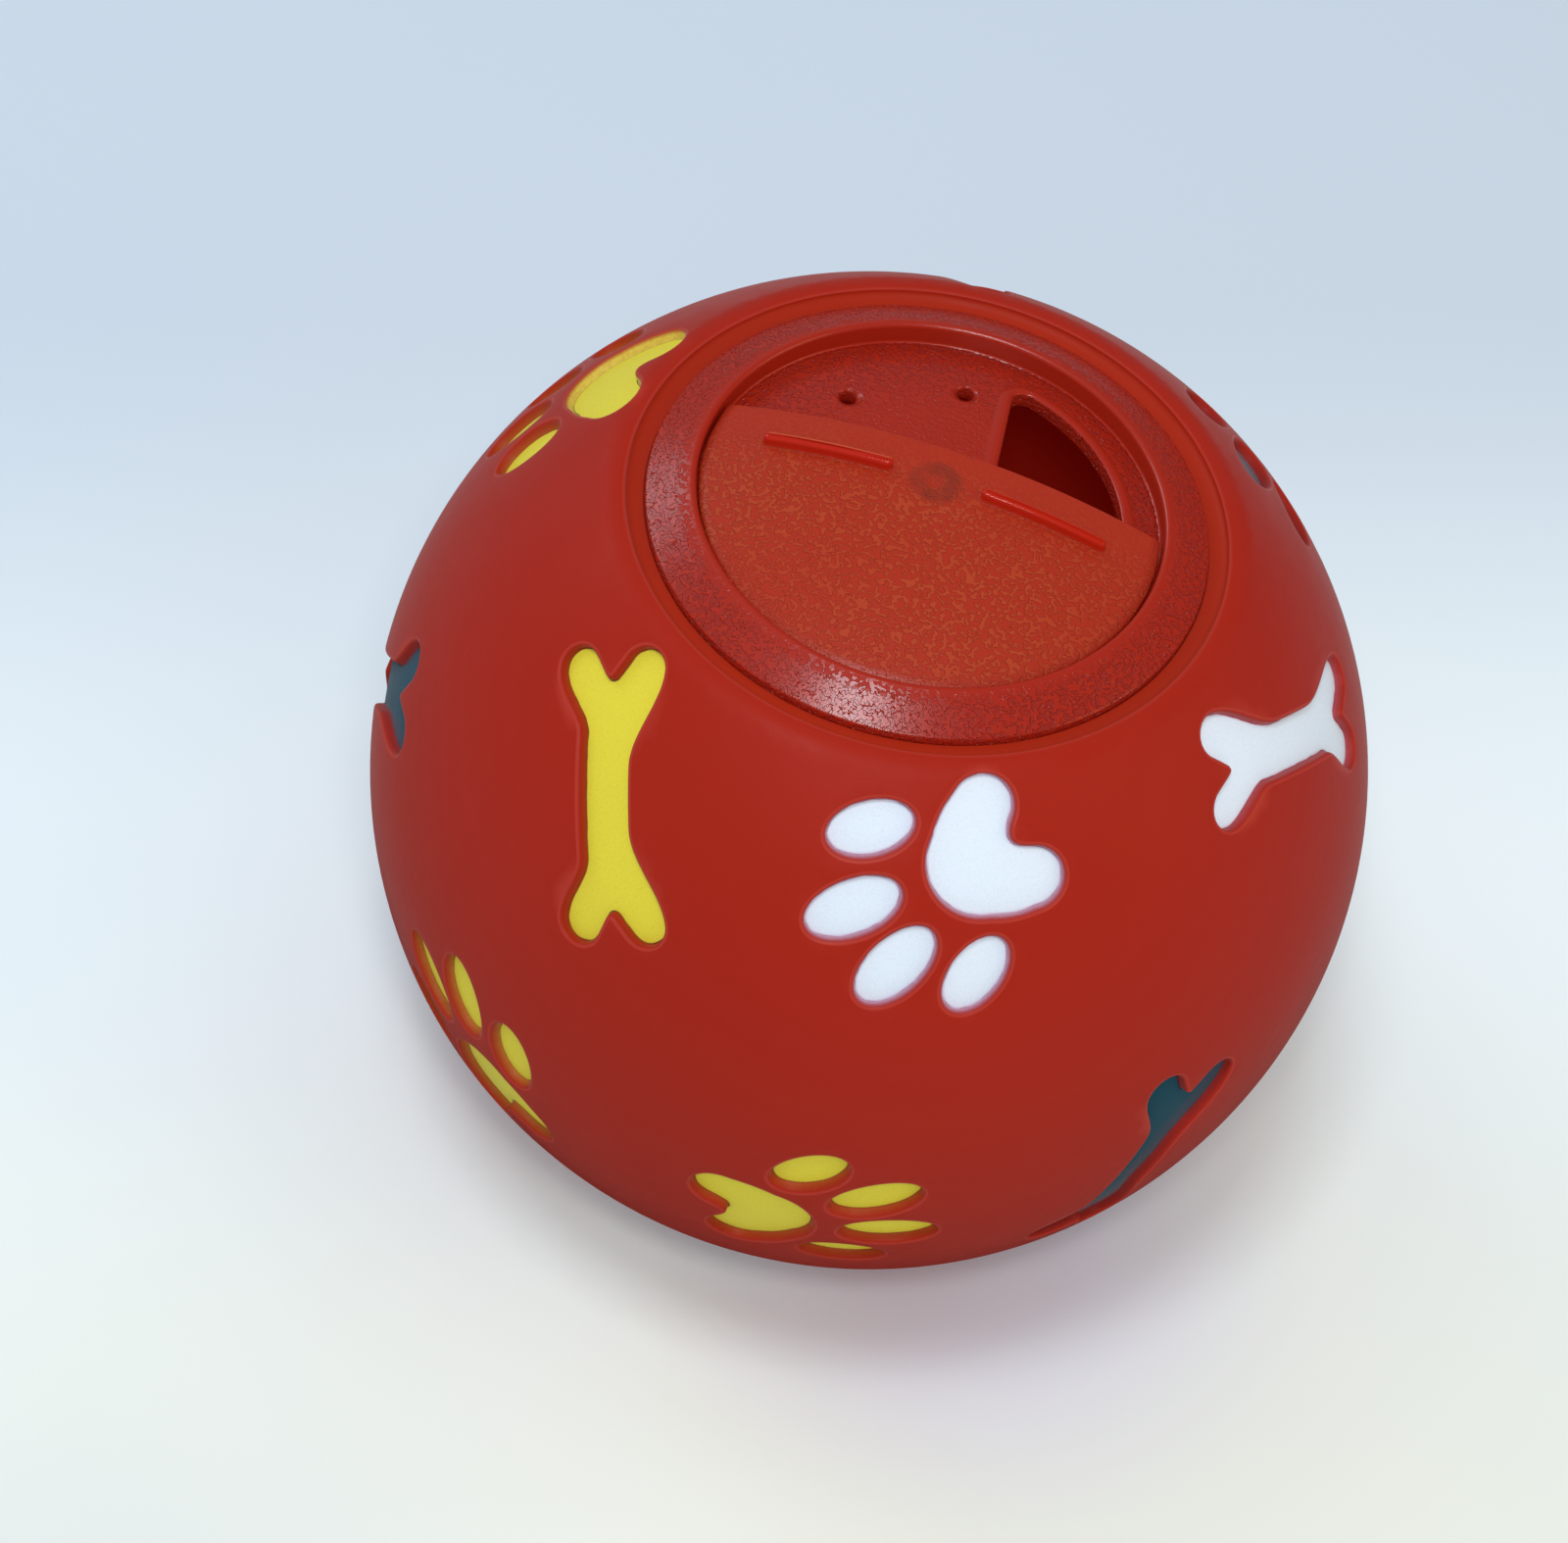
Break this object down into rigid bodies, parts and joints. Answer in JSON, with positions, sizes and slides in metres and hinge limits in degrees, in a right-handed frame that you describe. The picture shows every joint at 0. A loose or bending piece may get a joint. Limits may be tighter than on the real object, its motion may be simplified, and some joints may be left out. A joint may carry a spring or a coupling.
{
  "type": "treat dispensing ball",
  "caption": "Hollow vinyl treat ball with recessed painted bones and paws, a snap-in plug with a treat opening, and a half-disc shutter that turns to size it.",
  "frame": {"origin": "centre of the ball", "axes": "+Z along the plug's axis, out of the mouth; -Y is the side that faces the viewer; +X is to the right of it"},
  "size_m": [0.11, 0.11, 0.1049],
  "materials": {
    "shell": "satin",
    "plug": "satin, grained flange",
    "shutter": "satin, grained",
    "yellow_paint": "matte",
    "white_paint": "matte",
    "teal_paint": "matte"
  },
  "bodies": {
    "ball": {"ball_shell": "shell", "insert_plug": "plug", "yellow_bone_front": "yellow_paint", "white_paw_front": "white_paint", "white_bone_right": "white_paint", "teal_paw_back_right": "teal_paint", "teal_bone_back": "teal_paint", "yellow_paw_back_left": "yellow_paint", "teal_bone_side_left": "teal_paint", "yellow_paw_side_front_left": "yellow_paint", "yellow_paw_side_front": "yellow_paint", "teal_bone_side_front_right": "teal_paint", "white_paw_side_right": "white_paint", "yellow_bone_side_back_right": "yellow_paint", "white_bone_side_back": "white_paint", "teal_paw_side_back_left": "teal_paint", "white_bone_under_front": "white_paint", "teal_paw_under_right": "teal_paint", "yellow_bone_under_back": "yellow_paint", "white_paw_under_left": "white_paint"},
    "shutter": {"shutter": "shutter"}
  },
  "joints": [
    {"name": "shutter_turn", "type": "hinge", "parent": "ball", "child": "shutter", "pos_m": [0, 0, 0.045], "axis": [0, 0, 1], "continuous": true}
  ]
}
